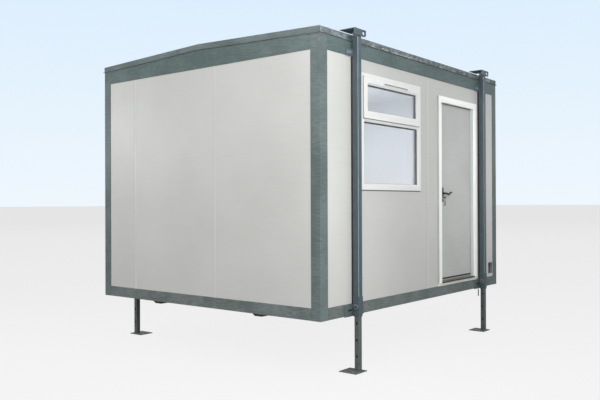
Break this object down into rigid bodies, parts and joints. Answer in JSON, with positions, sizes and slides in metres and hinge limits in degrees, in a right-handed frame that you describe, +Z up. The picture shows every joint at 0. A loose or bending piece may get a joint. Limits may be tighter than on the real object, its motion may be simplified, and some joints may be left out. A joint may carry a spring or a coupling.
{
  "type": "portable site cabin",
  "caption": "Portable flat-pitched site cabin of insulated panels with grey trims, a white window, an inward door and telescopic legs with lifting heads",
  "frame": {"origin": "on the ground under the centre of the cabin, level with the undersides of the foot plates", "axes": "+X along the long side, towards the door; the front wall with door and window faces -Y; +Z up"},
  "size_m": [3.68, 3.25, 3.113],
  "materials": {
    "wall_panel": "satin coil-coated steel, faint micro-rib",
    "trim_steel": "slate grey plastisol-coated steel",
    "roof_steel": "slate grey coated steel sheet",
    "leg_paint": "blue-grey sprayed enamel, scuffed",
    "upvc": "white uPVC",
    "glazing": "clear sealed double glazing",
    "door_skin": "satin coil-coated steel",
    "lock_black": "dark bronze powder coat",
    "hinge_steel": "zinc plated",
    "threshold_alloy": "bronze anodised",
    "skid_timber": "treated timber, oxide stain",
    "floor_timber": "sealed plywood",
    "inlet_plastic": "dark moulded plastic"
  },
  "bodies": {
    "cabin": {"skid_runners": "skid_timber", "floor_panel": "wall_panel", "floor_boards": "floor_timber", "bottom_trims": "trim_steel", "corner_trims": "trim_steel", "fascias": "trim_steel", "front_wall_left": "wall_panel", "front_wall_window": "wall_panel", "front_wall_middle": "wall_panel", "front_wall_over_door": "wall_panel", "front_wall_under_door": "wall_panel", "front_wall_right": "wall_panel", "rear_wall": "wall_panel", "left_end_wall": "wall_panel", "right_end_wall": "wall_panel", "ceiling_panel": "wall_panel", "roof_rails": "trim_steel", "roof_sheet_front": "roof_steel", "roof_sheet_rear": "roof_steel", "roof_edge_front": "trim_steel", "roof_edge_rear": "trim_steel", "roof_edge_left": "trim_steel", "roof_edge_right": "trim_steel", "window_frame": "upvc", "window_sash": "upvc", "window_glass": "glazing", "trickle_vent": "upvc", "door_frame": "upvc", "door_threshold": "threshold_alloy", "door_hinges_fixed": "hinge_steel", "power_inlet": "inlet_plastic", "leg_pins": "hinge_steel", "leg_brackets": "leg_paint", "outer_leg_front_left": "leg_paint", "outer_leg_rear_left": "leg_paint", "outer_leg_front_right": "leg_paint", "outer_leg_rear_right": "leg_paint"},
    "door": {"door_leaf": "door_skin", "door_hinges_moving": "hinge_steel", "door_lock": "lock_black"},
    "door_handle": {"door_levers": "lock_black"},
    "leg_front_left": {"inner_leg_front_left": "leg_paint"},
    "leg_rear_left": {"inner_leg_rear_left": "leg_paint"},
    "leg_front_right": {"inner_leg_front_right": "leg_paint"},
    "leg_rear_right": {"inner_leg_rear_right": "leg_paint"}
  },
  "joints": [
    {"name": "door_swing", "type": "hinge", "parent": "cabin", "child": "door", "pos_m": [1.1825, -1.426, 1.653], "axis": [0, 0, -1], "range_deg": [0, 110]},
    {"name": "lever_press", "type": "hinge", "parent": "door", "child": "door_handle", "pos_m": [0.469, -1.456, 1.634], "axis": [0, 1, 0], "range_deg": [0, 40], "stiffness_Nm_per_rad": 2, "springref_deg": -28.65},
    {"name": "leg_slide_front_left", "type": "slide", "parent": "cabin", "child": "leg_front_left", "axis": [0, 0, -1], "range_m": [-0.45, 1.05]},
    {"name": "leg_slide_rear_left", "type": "slide", "parent": "cabin", "child": "leg_rear_left", "axis": [0, 0, -1], "range_m": [-0.45, 1.05]},
    {"name": "leg_slide_front_right", "type": "slide", "parent": "cabin", "child": "leg_front_right", "axis": [0, 0, -1], "range_m": [-0.45, 1.05]},
    {"name": "leg_slide_rear_right", "type": "slide", "parent": "cabin", "child": "leg_rear_right", "axis": [0, 0, -1], "range_m": [-0.45, 1.05]}
  ]
}
